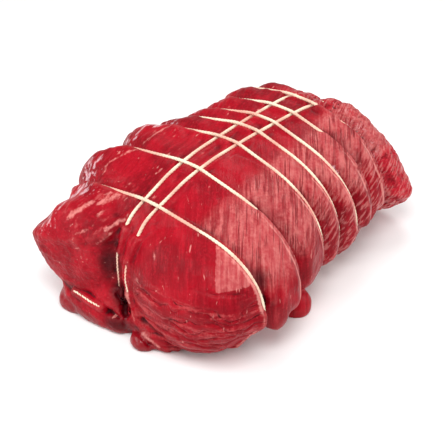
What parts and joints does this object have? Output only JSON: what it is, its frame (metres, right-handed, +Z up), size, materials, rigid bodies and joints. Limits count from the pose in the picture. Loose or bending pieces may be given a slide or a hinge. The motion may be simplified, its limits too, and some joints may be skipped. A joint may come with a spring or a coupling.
{
  "type": "tied raw bison round roast",
  "caption": "Raw bison round roast, rolled and tied with cotton twine, lying on its flat underside with a cleft front end.",
  "frame": {"origin": "middle of the flat underside, under the centre of the bounding box", "axes": "+Y along the roast from the cleft front end to the back end, +Z up, +X to the roast's right"},
  "size_m": [0.1834, 0.252, 0.0999],
  "materials": {
    "meat": "moist raw lean meat, deep red with pale fat flecks",
    "twine": "matte cream cotton, stained pink in places"
  },
  "bodies": {
    "root": {"meat": "meat", "long_tie_left": "twine", "long_tie_right": "twine", "cross_tie_1": "twine", "cross_tie_2": "twine", "cross_tie_3": "twine", "cross_tie_4": "twine", "cross_tie_5": "twine", "cross_tie_6": "twine", "cross_tie_7": "twine", "loose_end": "twine"}
  },
  "joints": []
}
